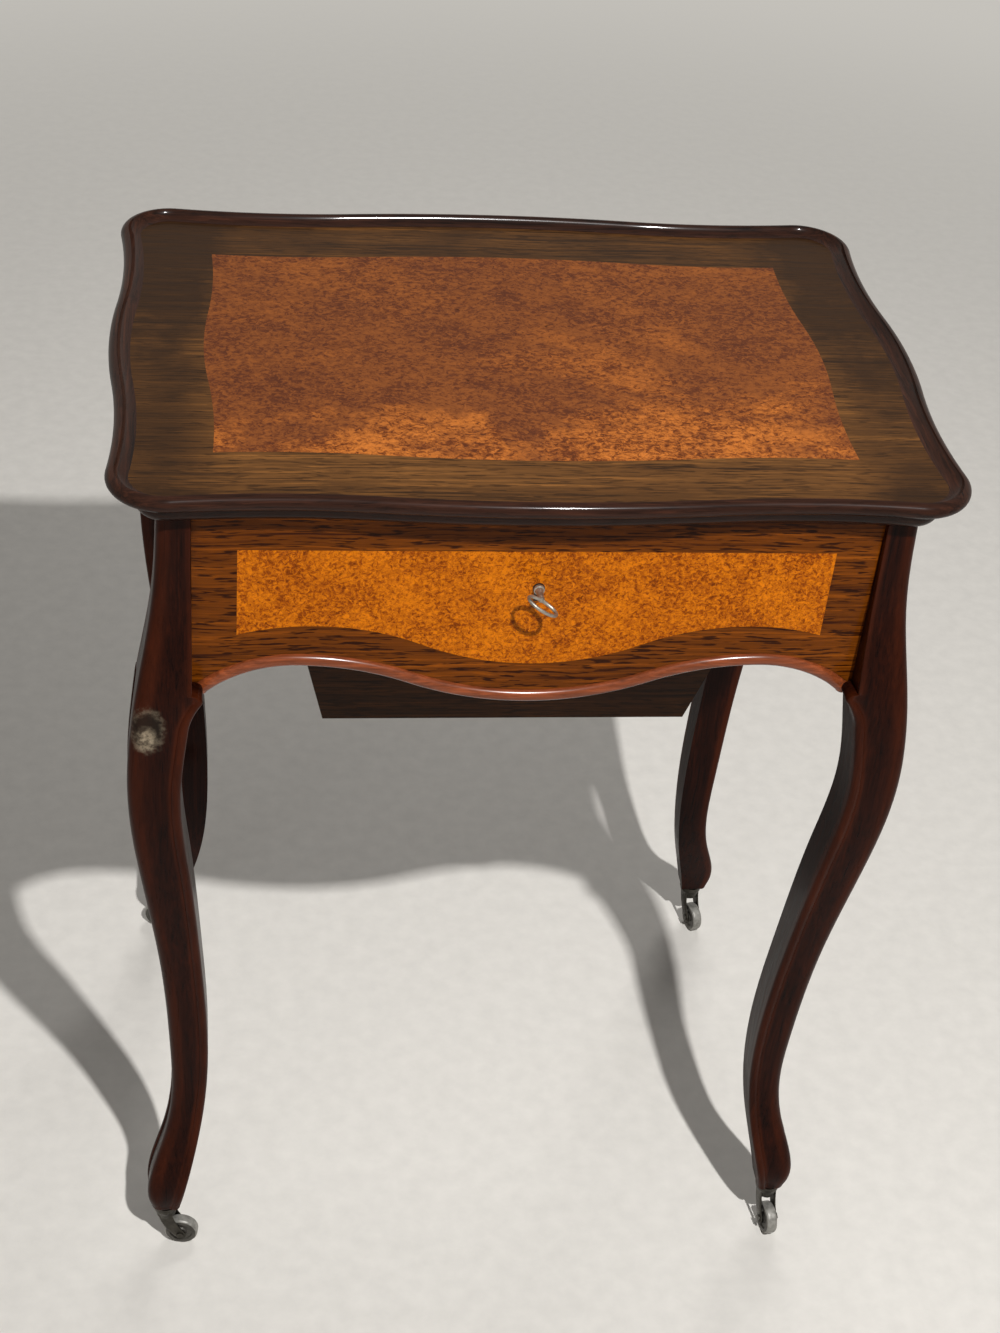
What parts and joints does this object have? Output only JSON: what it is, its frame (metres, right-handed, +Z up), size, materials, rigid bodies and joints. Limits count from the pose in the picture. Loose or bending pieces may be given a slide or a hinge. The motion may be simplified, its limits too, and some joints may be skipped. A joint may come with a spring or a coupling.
{
  "type": "dressing table",
  "caption": "Small serpentine-topped dressing table with a rear-hinged mirror lid, lift-out tray, tapered well, shaped aprons and cabriole legs on swivel casters.",
  "frame": {"origin": "on the floor below the middle of the table", "axes": "+Z up, +X to the right seen from the front, +Y towards the back"},
  "size_m": [0.546, 0.402, 0.71],
  "materials": {
    "burr_veneer": "polished burr veneer",
    "rosewood": "polished rosewood veneer",
    "dark_polished_wood": "dark red-brown polish",
    "red_bead_wood": "glossy red-brown polish",
    "plain_wood": "plain waxed wood",
    "mirror": "silvered glass",
    "brass": "aged brass",
    "key_steel": "worn steel",
    "lock_iron": "dark iron",
    "caster_metal": "dull aged metal"
  },
  "bodies": {
    "frame": {"apron_back": "rosewood", "apron_front": "rosewood", "apron_left": "rosewood", "apron_right": "rosewood", "bead_back": "red_bead_wood", "bead_front": "red_bead_wood", "bead_left": "red_bead_wood", "bead_right": "red_bead_wood", "carcass_bottom": "rosewood", "caster_sockets": "caster_metal", "cornice_back": "dark_polished_wood", "cornice_front": "dark_polished_wood", "cornice_left": "dark_polished_wood", "cornice_right": "dark_polished_wood", "front_inlay": "burr_veneer", "hinge_frame_leaves": "brass", "hinge_pins": "brass", "keyhole_liner": "lock_iron", "leg_back_left": "dark_polished_wood", "leg_back_right": "dark_polished_wood", "leg_front_left": "dark_polished_wood", "leg_front_right": "dark_polished_wood", "lock_case": "lock_iron", "tray_box": "plain_wood", "tray_dividers": "plain_wood", "tray_rests": "plain_wood", "well_back": "rosewood", "well_bottom": "rosewood", "well_front": "rosewood", "well_left": "rosewood", "well_right": "rosewood"},
    "lid": {"banding_back": "rosewood", "banding_front": "rosewood", "banding_left": "rosewood", "banding_right": "rosewood", "hinge_lid_leaves": "brass", "lid_core": "plain_wood", "lid_staple": "brass", "mirror_frame": "dark_polished_wood", "mirror_glass": "mirror", "rim_back": "dark_polished_wood", "rim_front": "dark_polished_wood", "rim_left": "dark_polished_wood", "rim_right": "dark_polished_wood", "top_burr": "burr_veneer"},
    "key": {"key": "key_steel"},
    "lock_bolt": {"lock_bolt": "key_steel"},
    "caster_front_left": {"caster_fork_front_left": "caster_metal", "caster_axle_front_left": "caster_metal"},
    "wheel_front_left": {"caster_wheel_front_left": "caster_metal"},
    "caster_front_right": {"caster_fork_front_right": "caster_metal", "caster_axle_front_right": "caster_metal"},
    "wheel_front_right": {"caster_wheel_front_right": "caster_metal"},
    "caster_back_left": {"caster_fork_back_left": "caster_metal", "caster_axle_back_left": "caster_metal"},
    "wheel_back_left": {"caster_wheel_back_left": "caster_metal"},
    "caster_back_right": {"caster_fork_back_right": "caster_metal", "caster_axle_back_right": "caster_metal"},
    "wheel_back_right": {"caster_wheel_back_right": "caster_metal"}
  },
  "joints": [
    {"name": "lid_hinge", "type": "hinge", "parent": "frame", "child": "lid", "pos_m": [0, 0.1854, 0.692], "axis": [-1, 0, 0], "range_deg": [0, 100]},
    {"name": "key_turn", "type": "hinge", "parent": "frame", "child": "key", "pos_m": [0, -0.19, 0.628], "axis": [0, 1, 0], "range_deg": [0, 180]},
    {"name": "bolt_slide", "type": "slide", "parent": "frame", "child": "lock_bolt", "axis": [1, 0, 0], "range_m": [0, 0.012]},
    {"name": "swivel_front_left", "type": "hinge", "parent": "frame", "child": "caster_front_left", "pos_m": [-0.2417, -0.1757, 0.045], "axis": [0, 0, 1], "continuous": true},
    {"name": "roll_front_left", "type": "hinge", "parent": "caster_front_left", "child": "wheel_front_left", "pos_m": [-0.22982, -0.17737, 0.013], "axis": [0.1392, 0.9903, 0], "continuous": true},
    {"name": "swivel_front_right", "type": "hinge", "parent": "frame", "child": "caster_front_right", "pos_m": [0.2417, -0.1757, 0.045], "axis": [0, 0, 1], "continuous": true},
    {"name": "roll_front_right", "type": "hinge", "parent": "caster_front_right", "child": "wheel_front_right", "pos_m": [0.24337, -0.18758, 0.013], "axis": [0.9903, 0.1392, 0], "continuous": true},
    {"name": "swivel_back_left", "type": "hinge", "parent": "frame", "child": "caster_back_left", "pos_m": [-0.2417, 0.1757, 0.045], "axis": [0, 0, 1], "continuous": true},
    {"name": "roll_back_left", "type": "hinge", "parent": "caster_back_left", "child": "wheel_back_left", "pos_m": [-0.25298, 0.1798, 0.013], "axis": [-0.342, -0.9397, 0], "continuous": true},
    {"name": "swivel_back_right", "type": "hinge", "parent": "frame", "child": "caster_back_right", "pos_m": [0.2417, 0.1757, 0.045], "axis": [0, 0, 1], "continuous": true},
    {"name": "roll_back_right", "type": "hinge", "parent": "caster_back_right", "child": "wheel_back_right", "pos_m": [0.24481, 0.16411, 0.013], "axis": [0.9659, 0.2588, 0], "continuous": true}
  ],
  "couplings": [
    {"joint": "bolt_slide", "follows": "key_turn", "m_per_rad": 0.003819}
  ]
}
